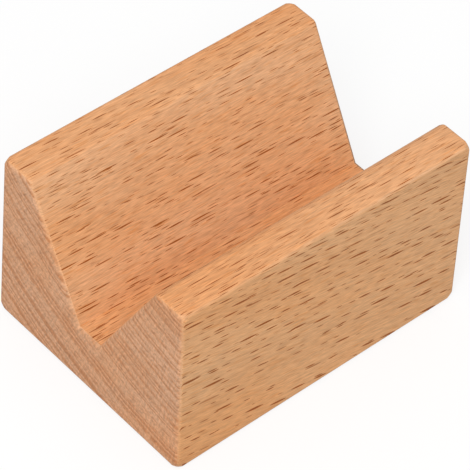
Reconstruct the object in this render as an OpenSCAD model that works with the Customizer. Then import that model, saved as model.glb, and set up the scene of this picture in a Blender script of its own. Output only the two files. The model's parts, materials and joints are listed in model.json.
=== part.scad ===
// Single-groove serving stand, cut from one solid block of beech.
// The groove runs along Y and is open at both ends. The origin is the middle of the base.

/* [Block] */
// Length along the groove
length = 120; // [90:1:240]
// Width across the two wall tops
top_w = 86; // [64:0.5:130]
// How far each long side leans out between its top edge and its base
flare = 1.8; // [0:0.1:6]
// Height from the base to the wall tops
height = 69.5; // [50:0.5:100]

/* [Groove] */
// Width of the flat top of each wall
wall_top_w = 12.8; // [7:0.1:24]
// Width of the flat floor of the groove
floor_w = 10.2; // [4:0.1:30]
// Wood left under the groove floor
floor_t = 23.6; // [10:0.1:45]

/* [Edges] */
// Radius eased along every outer edge and round both end faces
edge_r = 1.5; // [0.5:0.1:3]
// Radius where a wall top rolls over into the groove
lip_r = 3; // [2:0.1:6]
// Radius to which sanding takes back the corners of each outer face
corner_r = 5; // [3.5:0.1:8]

/* [Hidden] */
$fn = 48;

// The section across the groove, as the corners of its right half
base_corner = [top_w / 2 + flare, 0];
top_corner = [top_w / 2, height];
lip = [top_w / 2 - wall_top_w, height];
groove_foot = [floor_w / 2, floor_t];

side_lean = atan(flare / height);
past = edge_r + corner_r;       // how far a cutting shape runs on beyond the wood
floor_ease = 0.9;               // share of edge_r that sanding reaches at the ends of the groove floor

function toward(from, to) = (to - from) / norm(to - from);
function flip(p) = [-p.x, p.y];

// What a round-over bit of radius r takes off the corner p, between its edges to a and to b.
// With bite above 1 the arc crosses the two edges, where otherwise it only touches them.
module corner_waste(a, p, b, r, bite = 1) {
    half = acos(toward(p, a) * toward(p, b)) / 2;
    run = r / tan(half);
    middle = (toward(p, a) + toward(p, b)) / (2 * cos(half));
    centre = p + middle * r / sin(half);
    out = 1.3;                  // draws the waste out past the two faces it is tangent to
    translate(centre) difference() {
        polygon([for (q = [centre, p + toward(p, a) * run, p, p + toward(p, b) * run]) (q - centre) * out]);
        circle(r * bite);
    }
}

// Runs a shape of the section the whole way along the groove
module along_groove(l) {
    rotate([90, 0, 0]) linear_extrude(l, center = true) children();
}

// The section itself, with the groove cut into it
module section() {
    bite = 1.002;
    difference() {
        polygon([flip(base_corner), base_corner, top_corner, lip, groove_foot,
                 flip(groove_foot), flip(lip), flip(top_corner)]);
        for (side = [0, 1]) mirror([side, 0]) {
            corner_waste([0, 0], base_corner, top_corner, edge_r, bite);
            corner_waste(base_corner, top_corner, lip, edge_r, bite);
            corner_waste(top_corner, lip, groove_foot, lip_r, bite);
        }
    }
}

// Waste along one edge of the end face, from p to q of the section, with the wood on its left.
// It is set out from q, so that the bars of the groove meet at its foot to the last digit.
module end_edge_waste(p, q, r = edge_r) {
    d = toward(p, q);
    run = norm(q - p);
    translate([q.x, length / 2, q.y]) rotate([0, atan2(d.x, d.y), 0]) translate([0, 0, -run - past])
        linear_extrude(run + 2 * past) corner_waste([0, -1], [0, 0], [-1, 0], r);
}

// The part of the section nearer to the groove floor than to either groove side.
// Its slanting edges mitre the waste where the floor meets the sides.
module floor_zone() {
    into_groove = toward(groove_foot, flip(groove_foot)) + toward(groove_foot, lip);
    low = groove_foot - 2 * past * into_groove;
    high = groove_foot + [0, past];
    polygon([high, groove_foot, low, flip(low), flip(groove_foot), flip(high)]);
}

module both_sides() {
    children();
    mirror([1, 0, 0]) children();
}

module both_ends() {
    children();
    mirror([0, 1, 0]) children();
}

module end_face_waste() {
    end_edge_waste(flip(base_corner), base_corner);
    both_sides() {
        end_edge_waste(base_corner, top_corner);
        end_edge_waste(top_corner, lip);
        difference() {
            end_edge_waste(lip, groove_foot);
            along_groove(2 * length) floor_zone();
        }
    }
    intersection() {
        end_edge_waste(groove_foot, flip(groove_foot), floor_ease * edge_r);
        along_groove(2 * length) floor_zone();
    }
}

// What sanding takes off a corner at the origin, in wood that lies towards -X, -Y and +Z.
// The ball touches all three edges at corner_r from the corner.
module sanded_corner() {
    mirror([1, 0, 0]) mirror([0, 1, 0]) difference() {
        translate([-past, -past, -past]) cube(past + corner_r);
        translate([corner_r, corner_r, corner_r]) sphere(corner_r * sqrt(2));
    }
}

module sanded_corners() {
    both_sides() {
        translate([base_corner.x, length / 2, 0]) rotate([0, -side_lean, 0]) sanded_corner();
        translate([top_corner.x, length / 2, height]) rotate([0, -side_lean, 0])
            mirror([0, 0, 1]) sanded_corner();
    }
}

module stand() {
    color([0.85, 0.63, 0.45])
        difference() {
            along_groove(length) section();
            both_ends() end_face_waste();
            both_ends() sanded_corners();
        }
}

stand();
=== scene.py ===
# Serving stand: one block of beech with an open, flat-bottomed groove, in a plain studio.
import json
import math
from types import SimpleNamespace

import bmesh
import bpy
from mathutils import Matrix, Vector

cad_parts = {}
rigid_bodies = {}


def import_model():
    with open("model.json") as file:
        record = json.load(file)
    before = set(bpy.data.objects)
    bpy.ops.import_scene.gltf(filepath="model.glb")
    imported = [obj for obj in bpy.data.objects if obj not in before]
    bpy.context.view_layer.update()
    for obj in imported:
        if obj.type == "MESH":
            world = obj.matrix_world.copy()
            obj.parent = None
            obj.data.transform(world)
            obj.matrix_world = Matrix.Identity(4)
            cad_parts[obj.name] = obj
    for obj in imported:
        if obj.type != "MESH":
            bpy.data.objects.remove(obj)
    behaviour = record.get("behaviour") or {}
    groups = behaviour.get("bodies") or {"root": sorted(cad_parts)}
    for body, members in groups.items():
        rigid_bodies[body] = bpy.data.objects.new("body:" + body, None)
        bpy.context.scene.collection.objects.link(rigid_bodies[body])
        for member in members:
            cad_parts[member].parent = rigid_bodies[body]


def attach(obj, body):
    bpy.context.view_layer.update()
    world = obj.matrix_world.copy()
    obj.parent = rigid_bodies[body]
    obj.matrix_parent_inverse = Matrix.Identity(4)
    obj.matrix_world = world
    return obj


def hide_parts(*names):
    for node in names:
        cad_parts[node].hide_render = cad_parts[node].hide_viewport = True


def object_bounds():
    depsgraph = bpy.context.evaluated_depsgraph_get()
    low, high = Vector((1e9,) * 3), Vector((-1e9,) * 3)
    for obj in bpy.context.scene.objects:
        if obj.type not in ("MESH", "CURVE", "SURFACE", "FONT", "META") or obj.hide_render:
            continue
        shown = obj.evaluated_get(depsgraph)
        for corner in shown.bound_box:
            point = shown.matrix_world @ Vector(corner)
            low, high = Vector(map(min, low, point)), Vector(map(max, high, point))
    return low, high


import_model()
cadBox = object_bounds()
mm = 0.001
print("frame loaded")


# Helpers for modelling

def selectNone():
    for thing in bpy.context.scene.objects:
        thing.select_set(False)


def openMesh(obj):
    # edit mode on this object alone
    selectNone()
    bpy.context.view_layer.objects.active = obj
    obj.select_set(True)
    bpy.ops.object.mode_set(mode="EDIT")


def pick(obj, kind, wanted):
    # selects the verts, edges or faces of the open mesh that pass the test, and nothing else
    bpy.ops.mesh.select_mode(type=kind)
    bpy.ops.mesh.select_all(action="DESELECT")
    mesh = bmesh.from_edit_mesh(obj.data)
    parts = {"VERT": mesh.verts, "EDGE": mesh.edges, "FACE": mesh.faces}[kind]
    for part in [p for p in parts if wanted(p)]:
        part.select_set(True)
    bmesh.update_edit_mesh(obj.data)


def near(a, b, slack=0.01 * mm):
    return abs(a - b) < slack


# The block, sizes as in the part

block = {
    "flare": 1.8 * mm,         # how far each long side leans out, top to base
    "wallTop": 12.8 * mm,      # flat top of each wall
    "floorWidth": 10.2 * mm,   # flat floor of the groove
    "floorThick": 23.6 * mm,   # wood under the groove
    "easedEdge": 1.5 * mm,     # radius along the outer edges and round both ends
    "lip": 3.0 * mm,           # radius of the roll from a wall top into the groove
    "cornerCut": 2.9 * mm,     # how far along each edge a corner is first taken back
    "cornerSoft": 2.0 * mm,    # radius that then blends that cut away
    "cornerTurn": 54.7,        # how far the surface turns where that cut meets a side, in degrees
    "cornerSlack": (40, 60),   # turns that are taken for it
    "squareOver": 80,          # turns above this are the plain outer edges
    "flatUnder": 0.5,          # faces that turn by less are one face
    "steps": 6,                # faces across each rounding
}


def blockPlaces(size):
    # the corners of one half of the section, worked out from the frame's box
    low, high = cadBox
    baseX = (high.x - low.x) / 2
    topX = baseX - size["flare"]
    return SimpleNamespace(
        length=high.y - low.y,
        height=high.z - low.z,
        baseX=baseX,
        topX=topX,
        lipX=topX - size["wallTop"],
        footX=size["floorWidth"] / 2,
        floorZ=size["floorThick"],
    )


def makeSlab(at):
    # the wood under the groove, marked off where the groove's floor will be
    selectNone()
    bpy.ops.mesh.primitive_cube_add(
        size=1, location=(0, 0, at.floorZ / 2), scale=(2 * at.baseX, at.length, at.floorZ))
    obj = bpy.context.object
    obj.name = "beech_block"
    bpy.ops.object.transform_apply(location=True, rotation=True, scale=True)
    openMesh(obj)
    for x in (-at.footX, at.footX):
        bpy.ops.mesh.select_all(action="SELECT")
        bpy.ops.mesh.bisect(plane_co=(x, 0, 0), plane_no=(1, 0, 0))
    return obj


def raiseWalls(obj, at, size):
    # a wall drawn up on either side of the floor, its inner top edge then pulled out to the lip
    def isWallFoot(f):
        return near(f.normal.z, 1) and abs(f.calc_center_median().x) > at.footX

    pick(obj, "FACE", isWallFoot)
    bpy.ops.mesh.extrude_region_move(TRANSFORM_OT_translate={"value": (0, 0, at.height - at.floorZ)})
    for side in (-1, 1):
        pick(obj, "VERT", lambda v: near(v.co.x, side * at.footX) and near(v.co.z, at.height))
        bpy.ops.transform.translate(value=(side * (at.lipX - at.footX), 0, 0))
        for z in (at.floorZ, at.height):
            pick(obj, "VERT", lambda v: near(v.co.x, side * at.baseX) and near(v.co.z, z))
            bpy.ops.transform.translate(value=(-side * size["flare"] * z / at.height, 0, 0))
    bpy.ops.mesh.select_all(action="SELECT")
    bpy.ops.mesh.dissolve_limited(angle_limit=math.radians(size["flatUnder"]))


def weighEdges(obj, at, size):
    # the bevel's weight on each kind of edge, as a share of the widest; returns that width
    turn = math.atan2(at.height - at.floorZ, at.lipX - at.footX)
    widest = size["lip"] * math.tan(turn / 2)
    cutLow, cutHigh = (math.radians(turned) for turned in size["cornerSlack"])

    def isLip(e):
        return all(near(abs(v.co.x), at.lipX) and near(v.co.z, at.height) for v in e.verts)

    def isSquare(e):
        return e.calc_face_angle_signed() > math.radians(size["squareOver"])

    def isCornerCut(e):
        return cutLow < e.calc_face_angle_signed() < cutHigh

    for wanted, width in (
        (isSquare, size["easedEdge"]),
        (isCornerCut, size["cornerSoft"] * math.tan(math.radians(size["cornerTurn"]) / 2)),
        (isLip, widest),
    ):
        pick(obj, "EDGE", wanted)
        bpy.ops.transform.edge_bevelweight(value=-1)
        bpy.ops.transform.edge_bevelweight(value=width / widest)
    return widest


def makeBlock(size):
    at = blockPlaces(size)
    obj = makeSlab(at)
    raiseWalls(obj, at, size)

    # the foot of each groove side stays a crisp inside corner
    pick(obj, "EDGE", lambda e: e.calc_face_angle_signed() < 0)
    bpy.ops.mesh.mark_sharp()

    # the eight outer corners are taken back flat
    pick(obj, "VERT", lambda v: near(v.co.z, 0) or near(abs(v.co.x), at.topX))
    bpy.ops.mesh.bevel(affect="VERTICES", offset=size["cornerCut"], segments=1)

    # then one bevel eases everything
    widest = weighEdges(obj, at, size)
    bpy.ops.object.mode_set(mode="OBJECT")
    ease = obj.modifiers.new("ease", "BEVEL")
    ease.limit_method = "WEIGHT"
    ease.width = widest
    ease.segments = size["steps"]
    ease.use_clamp_overlap = False
    ease.harden_normals = True
    bpy.ops.object.shade_smooth()
    bpy.ops.object.modifier_apply(modifier=ease.name)
    return obj


stand = makeBlock(block)
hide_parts("stand")
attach(stand, "root")
print("block modelled:", len(stand.data.polygons), "faces")


# Helpers for materials

class Thread:
    # a socket that maths can be written on
    def __init__(self, tree, socket=None):
        self.tree = tree
        self.socket = socket

    def node(self, kind, settings=None, inputs=None, give=0):
        made = self.tree.nodes.new(kind)
        for name, value in (settings or {}).items():
            setattr(made, name, value)
        for name, value in (inputs or {}).items():
            if isinstance(value, Thread):
                self.tree.links.new(value.socket, made.inputs[name])
            else:
                made.inputs[name].default_value = value
        return Thread(self.tree, made.outputs[give] if made.outputs else None)

    def other(self, name):
        # another output of the same node
        return Thread(self.tree, self.socket.node.outputs[name])

    def maths(self, operation, *more):
        # one operation on this value, with the other values that it takes
        return self.node("ShaderNodeMath", {"operation": operation}, dict(enumerate((self, *more))))

    def mix(self, one, two, blend="MIX"):
        # the first colour where this value is 0, and where it is 1 the second, blended with it;
        # the node's sockets for colours are inputs 6 and 7 and output 2
        inputs = {0: self, 6: one, 7: two}
        return self.node("ShaderNodeMix", {"data_type": "RGBA", "blend_type": blend}, inputs, 2)

    def between(self, low, high):
        # 0 at low and 1 at high, held there beyond
        inputs = {"Value": self, "From Min": low, "From Max": high}
        return self.node("ShaderNodeMapRange", {"interpolation_type": "SMOOTHSTEP"}, inputs)

    def __add__(self, more):
        return self.maths("ADD", more)

    def __sub__(self, less):
        return self.maths("SUBTRACT", less)

    def __rsub__(self, first):
        return self.node("ShaderNodeMath", {"operation": "SUBTRACT"}, {0: first, 1: self})

    def __mul__(self, times):
        return self.maths("MULTIPLY", times)

    def __truediv__(self, by):
        return self.maths("DIVIDE", by)

    def __pow__(self, power):
        return self.maths("POWER", power)

    __radd__ = __add__
    __rmul__ = __mul__


def emptyTree(holder):
    # the node tree of a material or world, cleared, with a thread to build it on
    holder.use_nodes = True
    holder.node_tree.nodes.clear()
    return Thread(holder.node_tree)


def shade(red, green, blue):
    # an sRGB colour, 0 to 255, turned into the linear light that a shader works in, with alpha
    def light(v):
        return v / 12.92 if v < 0.0404 else ((v + 0.055) / 1.055) ** 2.4

    return tuple(light(v / 255) for v in (red, green, blue)) + (1,)


# Beech, cut from one log. Everything is worked out from the place in the wood, in mm, so that the
# figure runs through the block and meets itself at every edge. Sizes in threes are across the
# grain, along it and upwards.

beech = {
    "topColour": shade(222, 163, 114),
    "grooveColourPaintedPaler": shade(222, 171, 127),    # painted paler, to offset the redder light that its sides throw on each other
    "sideColourAndPaintedTint": shade(224, 171, 121),      # a little yellower: partly the wood's own hue on the long sides, partly a painted difference in light against the tops
    "endColour": shade(217, 167, 130),       # end grain, pinker
    "fleckColour": (0.43, 0.21, 0.02, 1),    # what a ray takes the wood down to, as a share
    "streakColour": (0.92, 0.80, 0.64, 1),   # the same for the thin streaks
    "ringColour": (0.78, 0.62, 0.47, 1),     # for the dark of a year ring
    "driftColour": (1.0, 0.90, 0.78, 1),     # and for the slow drift of colour

    # how far a face turns one way before it counts, from not yet to fully
    "endTurn": (0.6, 0.88),                  # towards either end
    "sideTurn": (0.89, 0.97),                # sideways
    "grooveTurn": (0.95, 0.6),               # away from straight up, where the groove's painted lightening comes in

    # the log that the block comes from
    "pith": (72, 202),                       # its centre at the near end, x and z
    "sideLean": -0.17,                       # how the figure runs down the long sides, z for each y
    "topLean": 0.03,                         # and outwards along the tops

    "fibre": (0.34, 4.5, 0.34),
    "fibreDepth": 0.96,
    "streak": (0.6, 9, 0.6),
    "streakFrom": (0.04, 0.22),
    "tone": (19, 130, 19),
    "toneDepth": 0.2,
    "drift": (26, 75, 26),
    "driftFrom": (-0.2, 0.2),
    "pore": (0.9, 3, 0.9),                   # on end grain
    "spoke": (0.7, 20, 9),                   # ends of rays there: round the pith, along, outwards
    "spokeShare": 0.4,
    "poreDepth": 1.15,
    "detail": 3.0,                           # of fibres, tone and pores

    "roughness": 0.55,
    "roughnessDrift": 0.1,
    "refraction": 1.45,
    "relief": 0.03,                          # of the bump, mm
    "reliefStrength": 0.4,
    "fibreRelief": 0.5,
    "rayRelief": -0.8,
}

# Year rings: slow to darken and quick to pale again, uneven in width and strength
rings = {
    "year": 2.6,
    "bend": (30, 200, 30),                   # slow waves
    "bendBy": 5,
    "wobble": (2.5, 60, 2.5),                # small ones, in years
    "wobbleBy": 0.35,
    "uneven": 0.5,                           # how soon a year's width differs from the last
    "unevenBy": 1.6,
    "darkens": (0.1, 0.8),                   # through the year
    "pales": (0.72, 1.0),
    "dark": 1.3,
    "patch": (4, 40, 2.5),                   # where a ring is stronger and weaker
    "patchBy": 2,
    "strong": 0.45,                          # how soon a year's strength differs from the last
    "strongBy": 1.6,
    "strongMean": 0.7,
    "onSides": 0.18,                         # share that shows where the wood was cut lengthwise
}

# Rays: thin spindles that fan out from the pith, one to a cell of the log and no two alike
rays = {
    "kinds": (
        # the cell, and in it the half length, thickness and darkness of a ray
        {"apart": 1.15, "every": 9.5, "deep": 14, "half": 3.4, "thick": 0.18, "dark": 2.0, "first": 0},
        {"apart": 0.7, "every": 5.5, "deep": 9, "half": 1.8, "thick": 0.11, "dark": 1.3, "first": 37},
    ),
    "fanAt": 160,                            # how far from the pith a step of a mm round it is a mm
    "leastSquare": 0.12,                     # least that a face is taken to cut across the rays
    "wide": 2.3,                             # how wide they show, where they are cut lengthwise
    "narrow": 1.15,                          # and how much less, where they are cut across
    "narrowFrom": (0.2, 0.75),
    "stagger": 9,                            # rows against each other, in cells
    "shortest": 0.45,                        # as a share of half the length
    "alongPlay": 0.15,                       # how far they stray in a cell
    "asidePlay": 0.5,
    "thinnest": 0.6,                         # share of the thickness that all have
    "thicker": 0.6,                          # and what the longest have besides
    "edge": (0.5, 1.1),                      # where a fleck fades, from its middle outwards
    "tip": (0.0, 0.2),
    "thinTip": 0.001,                        # keeps the width there above nought
    "rare": 0.36,                            # how much rarer they are, where they are cut across
    "rareFrom": (0.2, 0.6),
    "chosen": (0.2, 0.9),                    # the draws that show a ray, from faintly to fully
    "bold": 0.8,                             # how much darker they are, where they are cut across
    "endFade": (0.25, 0.65),                 # none on end grain
}


def stack(first, *rest):
    return first.node("ShaderNodeCombineXYZ", inputs=dict(enumerate((first, *rest))))


def cloud(place, size, detail=2.0):
    # even noise about nought
    spot = stack(*[part / length for part, length in zip(place, size)])
    inputs = {"Vector": spot, "Scale": 1.0, "Detail": detail}
    return spot.node("ShaderNodeTexNoise", {"noise_dimensions": "3D"}, inputs) - 0.5


def fromPith(x, z, pith):
    # sideways, up and how far in all
    x, z = x - pith[0], z - pith[1]
    return x, z, (x * x + z * z) ** 0.5


def placeInWood(start, use):
    # where each point lies, and which way the wood was cut there
    coords = start.node("ShaderNodeTexCoord", give="Object")
    inMm = start.node("ShaderNodeVectorMath", {"operation": "SCALE"}, {0: coords, "Scale": 1 / mm})
    x = start.node("ShaderNodeSeparateXYZ", inputs={0: inMm})
    along, z = x.other("Y") - cadBox[0].y / mm, x.other("Z")
    facingX = start.node("ShaderNodeSeparateXYZ", inputs={0: coords.other("Normal")})
    facingZ = facingX.other("Z")
    facingEnd = facingX.other("Y").maths("ABSOLUTE")
    onSide = facingX.maths("ABSOLUTE").between(*use["sideTurn"])
    across = x - along * use["topLean"]
    upward = z - along * onSide * use["sideLean"]
    return SimpleNamespace(
        x=x, along=along, z=z,
        facingX=facingX, facingZ=facingZ, facingEnd=facingEnd,
        onSide=onSide,
        onEnd=facingEnd.between(*use["endTurn"]),
        inGroovePaintedPaler=facingZ.between(*use["grooveTurn"]),
        grain=(across, along, upward),
        pith=use["pith"], lean=use["topLean"],
    )


def yearRings(at, use):
    def season(years, every):
        # one value that drifts from year to year, about nought
        inputs = {"W": years, "Scale": every, "Detail": 1.0}
        return years.node("ShaderNodeTexNoise", {"noise_dimensions": "1D"}, inputs) - 0.5

    across, _, upward = at.grain
    radius = fromPith(across, upward, at.pith)[2]
    years = (radius + cloud(at.grain, use["bend"]) * use["bendBy"]) / use["year"]
    wobble = cloud(at.grain, use["wobble"]) * use["wobbleBy"]
    years = years + season(years, use["uneven"]) * use["unevenBy"] + wobble
    grown = years.maths("FRACT")
    line = grown.between(*use["darkens"]) * (1 - grown.between(*use["pales"])) * use["dark"]
    patches = cloud(at.grain, use["patch"]) * use["patchBy"]
    return line * (patches + season(years, use["strong"]) * use["strongBy"] + use["strongMean"])


def rayFlecks(at, use):
    # returns how dark the flecks are, and the place in the fan of rays
    sideways, up, reach = fromPith(at.x, at.z, at.pith)
    angle = up.maths("ARCTAN2", sideways)
    roundabout = (angle - at.along * at.lean / reach) * use["fanAt"]
    square = ((sideways * at.facingX + up * at.facingZ) / reach).maths("ABSOLUTE")
    square = square.maths("MAXIMUM", use["leastSquare"])
    show = square * (use["wide"] - square.between(*use["narrowFrom"]) * use["narrow"])

    def chance(kind, seeds, give):
        # the same draw for the whole of a cell
        inputs = {"Vector": stack(*seeds)}
        return reach.node("ShaderNodeTexWhiteNoise", {"noise_dimensions": kind}, inputs, give)

    def flecks(kind):
        row = roundabout / kind["apart"] + kind["first"]
        rowAt = row.maths("FLOOR")
        layer = (reach / kind["deep"]).maths("FLOOR")
        shift = chance("2D", (rowAt, layer, 0), 0) * use["stagger"]
        column = at.along / kind["every"] + shift
        luck = chance("3D", (rowAt, column.maths("FLOOR"), layer), "Color")
        luck = luck.node("ShaderNodeSeparateColor", inputs={0: luck})
        size, stray = luck.other("Green"), luck.other("Blue") - 0.5
        half = size * kind["half"] + kind["half"] * use["shortest"]
        ahead = column.maths("FRACT") - 0.5 - stray * use["alongPlay"]
        lengthwise = ahead * kind["every"] / half
        taper = (1 - lengthwise * lengthwise).maths("MAXIMUM", use["thinTip"])
        thick = taper * (size * use["thicker"] + use["thinnest"]) * show * kind["thick"]
        aside = row.maths("FRACT") - 0.5 - stray * use["asidePlay"]
        mask = 1 - (aside.maths("ABSOLUTE") * kind["apart"] / thick).between(*use["edge"])
        kept = (luck - square.between(*use["rareFrom"]) * use["rare"]).between(*use["chosen"])
        strength = kept * (square * use["bold"] + 1) * kind["dark"]
        return mask * strength * taper.between(*use["tip"])

    big, small = use["kinds"]
    dark = (flecks(big) + flecks(small)).maths("MINIMUM", 1.0)
    return dark * (1 - at.facingEnd.between(*use["endFade"])), (roundabout, at.along, reach)


def beechMaterial(use, ringUse, rayUse):
    mat = bpy.data.materials.new("beech")
    start = emptyTree(mat)
    at = placeInWood(start, use)
    ringed = yearRings(at, ringUse)
    flecked, inFan = rayFlecks(at, rayUse)

    # fibres, streaks and the slow drift of tone; pores and ray ends on end grain
    fibres = cloud(at.grain, use["fibre"], use["detail"])
    streaks = cloud(at.grain, use["streak"]).between(*use["streakFrom"]) * (1 - at.onEnd)
    tone = cloud(at.grain, use["tone"], use["detail"])
    drift = cloud(at.grain, use["drift"]).between(*use["driftFrom"])
    pores = cloud((at.x, at.along, at.z), use["pore"], use["detail"])
    spokes = cloud(inFan, use["spoke"], detail=1.0)

    # the groove's sides get painted light: a paler colour, by how far they face away from up, set
    # against their own bounce light
    wood = at.inGroovePaintedPaler.mix(use["topColour"], use["grooveColourPaintedPaler"])
    # the long sides get their own colour by which way they face, partly the wood's hue and partly
    # painted light
    wood = at.onSide.mix(wood, use["sideColourAndPaintedTint"])
    wood = at.onEnd.mix(wood, use["endColour"])
    light = 1 + tone * use["toneDepth"] + fibres * (1 - at.onEnd) * use["fibreDepth"]
    light = light + (pores + spokes * use["spokeShare"]) * at.onEnd * use["poreDepth"]
    wood = start.node("ShaderNodeVectorMath", {"operation": "SCALE"}, {0: wood, "Scale": light})
    wood = drift.mix(wood, use["driftColour"], "MULTIPLY")
    ringShare = at.onEnd * (1 - ringUse["onSides"]) + ringUse["onSides"]
    wood = (ringed * ringShare).mix(wood, use["ringColour"], "MULTIPLY")
    wood = streaks.mix(wood, use["streakColour"], "MULTIPLY")
    wood = flecked.mix(wood, use["fleckColour"], "MULTIPLY")

    height = fibres * use["fibreRelief"] + flecked * use["rayRelief"]
    bump = start.node("ShaderNodeBump", inputs={
        "Height": height, "Strength": use["reliefStrength"], "Distance": use["relief"] * mm})
    roughness = use["roughness"] + (flecked + fibres) * use["roughnessDrift"]
    finish = start.node("ShaderNodeBsdfPrincipled", inputs={
        "Base Color": wood, "Roughness": roughness, "Normal": bump, "IOR": use["refraction"]})
    start.node("ShaderNodeOutputMaterial", inputs={"Surface": finish})
    return mat


stand.data.materials.clear()
stand.data.materials.append(beechMaterial(beech, rings, rays))
print("beech made")


# The studio: a pale floor, one soft key lamp from the upper right and an even sky

white = (1, 1, 1, 1)
studio = {
    "floorSize": 6,
    "floorDrop": 0.03 * mm,                # keeps the floor clear of the underside
    "floorSeen": (0.25, 0.25, 0.25, 1),    # what the camera sees of the floor: this, lit, and a glow
    "floorGlow": 0.74,
    "floorFade": (0.2, 0.5),               # and how far out, in metres, that has turned to plain white
    "floorLit": (0.5, 0.5, 0.5, 1),        # what lights the wood from below
    "skyLight": 0.65,
    "keyFrom": (0.41, -0.5, 0.77),
    "keyFar": 2.2,
    "keySize": 1.1,
    "keyPower": 28.5,
}


def floorMaterial(use):
    mat = bpy.data.materials.new("floor")
    start = emptyTree(mat)
    paint = start.node("ShaderNodeBsdfDiffuse", inputs={"Color": use["floorSeen"]})
    glow = start.node("ShaderNodeEmission", inputs={"Strength": use["floorGlow"]})
    paint = start.node("ShaderNodeAddShader", inputs={0: paint, 1: glow})
    far = start.node("ShaderNodeEmission", inputs={"Strength": 1.0})
    coords = start.node("ShaderNodeTexCoord", give="Object")
    away = start.node("ShaderNodeVectorMath", {"operation": "LENGTH"}, {0: coords}, "Value")
    fade = away.between(*use["floorFade"])
    seen = start.node("ShaderNodeMixShader", inputs={0: fade, 1: paint, 2: far})
    lit = start.node("ShaderNodeBsdfDiffuse", inputs={"Color": use["floorLit"]})
    toCamera = start.node("ShaderNodeLightPath", give="Is Camera Ray")
    either = start.node("ShaderNodeMixShader", inputs={0: toCamera, 1: lit, 2: seen})
    start.node("ShaderNodeOutputMaterial", inputs={"Surface": either})
    return mat


def makeFloor(use):
    selectNone()
    bpy.ops.mesh.primitive_plane_add(size=use["floorSize"], location=(0, 0, -use["floorDrop"]))
    floor = bpy.context.object
    floor.name = "floor"
    floor.data.materials.append(floorMaterial(use))


def makeSky(use):
    # even light on the block, plain white to the camera
    world = bpy.data.worlds.new("studio")
    bpy.context.scene.world = world
    start = emptyTree(world)
    toCamera = start.node("ShaderNodeLightPath", give="Is Camera Ray")
    sky = start.node("ShaderNodeBackground", inputs={"Color": white, "Strength": use["skyLight"]})
    plain = start.node("ShaderNodeBackground", inputs={"Color": white, "Strength": 1.0})
    either = start.node("ShaderNodeMixShader", inputs={0: toCamera, 1: sky, 2: plain})
    start.node("ShaderNodeOutputWorld", inputs={"Surface": either})


def makeKey(use):
    lamp = bpy.data.lights.new("key", "AREA")
    lamp.energy = use["keyPower"]
    lamp.size = use["keySize"]
    key = bpy.data.objects.new("key", lamp)
    toLamp = Vector(use["keyFrom"]).normalized()
    key.location = toLamp * use["keyFar"]
    key.rotation_mode = "QUATERNION"
    key.rotation_quaternion = toLamp.to_track_quat("Z", "Y")
    bpy.context.scene.collection.objects.link(key)


makeFloor(studio)
makeSky(studio)
makeKey(studio)


# The camera, placed as the photograph was taken

camera = {
    "at": (504.889 * mm, -492.881 * mm, 768.398 * mm),
    "aim": (1.686 * mm, -0.632 * mm, 33.172 * mm),
    "roll": 4.499,      # degrees
    "lens": 243.35,     # in mm, and so is the sensor
    "sensor": 36,
}


def makeCamera(use):
    data = bpy.data.cameras.new("camera")
    data.lens = use["lens"]
    data.sensor_width = use["sensor"]
    cam = bpy.data.objects.new("camera", data)
    bpy.context.scene.collection.objects.link(cam)
    away = Vector(use["at"]) - Vector(use["aim"])
    turn = away.to_track_quat("Z", "Y").to_matrix() @ Matrix.Rotation(math.radians(use["roll"]), 3, "Z")
    cam.location = use["at"]
    cam.rotation_mode = "QUATERNION"
    cam.rotation_quaternion = turn.to_quaternion()
    bpy.context.scene.camera = cam


makeCamera(camera)
bpy.context.scene.view_settings.view_transform = "Standard"
print("studio and camera set")
bpy.context.view_layer.update()
